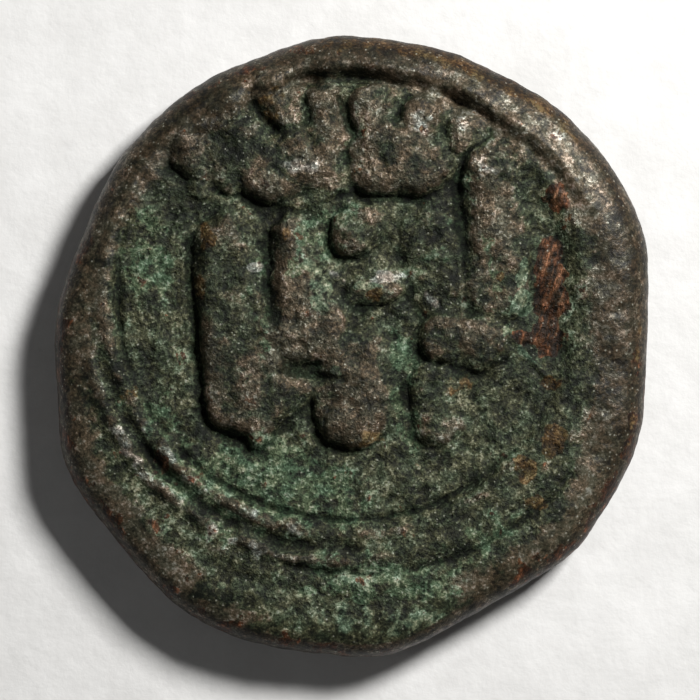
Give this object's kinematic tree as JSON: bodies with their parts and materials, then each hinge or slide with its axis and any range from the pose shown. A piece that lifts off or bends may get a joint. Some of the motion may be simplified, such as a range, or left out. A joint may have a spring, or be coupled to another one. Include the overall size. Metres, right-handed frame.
{
  "type": "small struck copper coin",
  "caption": "Thick irregular hand-struck copper coin with worn raised strokes inside double line circles, lying flat on its reverse.",
  "frame": {"origin": "centre of the outline's box, on the plane that the worn reverse rests on", "axes": "+Z out of the obverse, along the thickness; +Y towards the top of the obverse, the coin's longer way; +X to the right of the obverse"},
  "size_m": [0.0124, 0.013, 0.0019],
  "materials": {
    "patinated_copper": "dark green-brown patina over copper, worn to brown-grey on the high points, with green crust in the field and red-brown where it has flaked"
  },
  "bodies": {
    "root": {"coin": "patinated_copper"}
  },
  "joints": []
}
